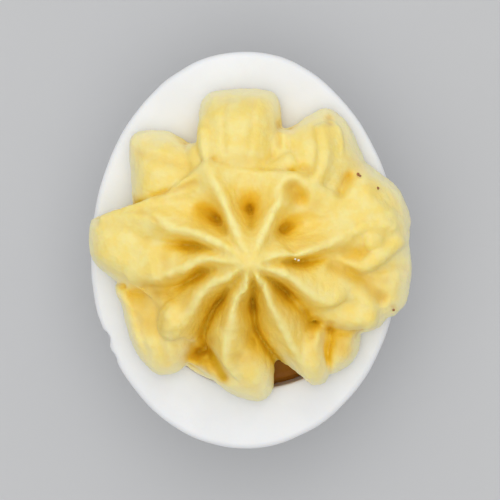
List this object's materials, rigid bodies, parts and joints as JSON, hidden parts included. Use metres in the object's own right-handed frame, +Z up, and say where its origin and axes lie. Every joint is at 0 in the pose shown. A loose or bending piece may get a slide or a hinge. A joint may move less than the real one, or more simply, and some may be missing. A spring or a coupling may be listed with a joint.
{
  "type": "deviled egg half",
  "caption": "Halved boiled egg white, flat on top and slightly flattened underneath, filled with a ruffled piped rosette of creamy yolk that overhangs the cut face.",
  "frame": {"origin": "centre of the footprint's bounding box, on the surface the egg half stands on", "axes": "+Z up out of the cut face and the piped filling, +Y towards the narrow end of the egg, +X to the right of it"},
  "size_m": [0.0458, 0.0558, 0.0386],
  "materials": {
    "egg_white": "moist satin, slightly translucent cooked egg white",
    "filling": "soft matte, slightly translucent creamy yolk paste"
  },
  "bodies": {
    "root": {"egg_white": "egg_white", "filling": "filling"}
  },
  "joints": []
}
